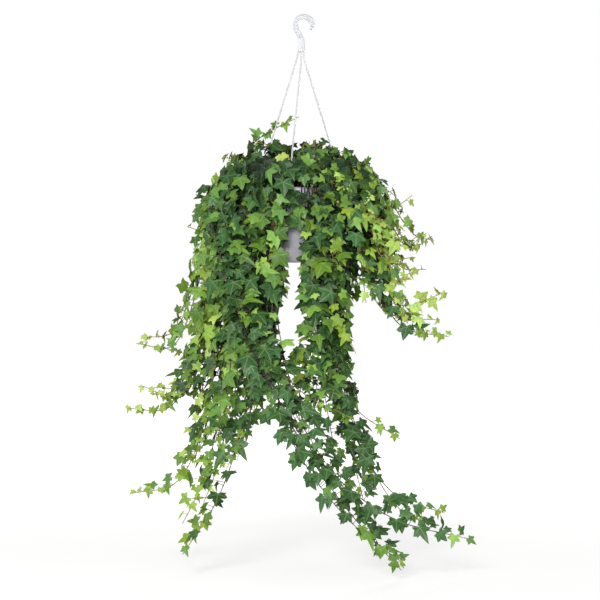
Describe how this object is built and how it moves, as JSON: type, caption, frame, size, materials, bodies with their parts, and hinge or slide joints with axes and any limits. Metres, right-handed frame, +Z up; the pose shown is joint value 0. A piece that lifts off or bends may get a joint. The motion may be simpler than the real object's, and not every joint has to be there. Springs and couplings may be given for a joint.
{
  "type": "potted trailing english ivy in a hanging pot",
  "caption": "Trailing english ivy with small lobed leaves in a white plastic pot with a drip saucer, which hangs from a moulded hook by thin legs.",
  "frame": {"origin": "inside of the hook's crown, the point that the whole object hangs from", "axes": "+Z up along the hanger; -Y is the front, as in the picture; +X is the viewer's right"},
  "size_m": [0.666, 0.5153, 1.0793],
  "materials": {
    "hanger_plastic": "satin",
    "pot_plastic": "satin",
    "potting_soil": "matte",
    "ivy": "satin"
  },
  "bodies": {
    "root": {"hanger": "hanger_plastic", "pot": "pot_plastic", "saucer": "pot_plastic", "soil": "potting_soil", "runner_1": "ivy", "runner_2": "ivy", "runner_3": "ivy", "runner_4": "ivy", "runner_5": "ivy", "runner_6": "ivy", "runner_7": "ivy", "runner_8": "ivy", "runner_9": "ivy", "runner_10": "ivy", "runner_11": "ivy", "runner_12": "ivy", "runner_13": "ivy", "runner_14": "ivy", "runner_15": "ivy", "runner_16": "ivy", "runner_17": "ivy", "runner_18": "ivy", "runner_19": "ivy", "runner_20": "ivy", "runner_21": "ivy", "runner_22": "ivy", "runner_23": "ivy", "runner_24": "ivy", "runner_25": "ivy", "runner_26": "ivy", "runner_27": "ivy", "runner_28": "ivy", "runner_29": "ivy", "runner_30": "ivy", "runner_31": "ivy", "runner_32": "ivy", "runner_33": "ivy", "runner_34": "ivy", "runner_35": "ivy", "runner_36": "ivy", "runner_37": "ivy", "runner_38": "ivy", "runner_39": "ivy", "runner_40": "ivy", "shoot_1": "ivy", "shoot_2": "ivy", "shoot_3": "ivy", "shoot_4": "ivy", "shoot_5": "ivy", "shoot_6": "ivy", "shoot_7": "ivy", "shoot_8": "ivy", "shoot_9": "ivy", "shoot_10": "ivy", "shoot_11": "ivy", "shoot_12": "ivy", "spray": "ivy"}
  },
  "joints": []
}
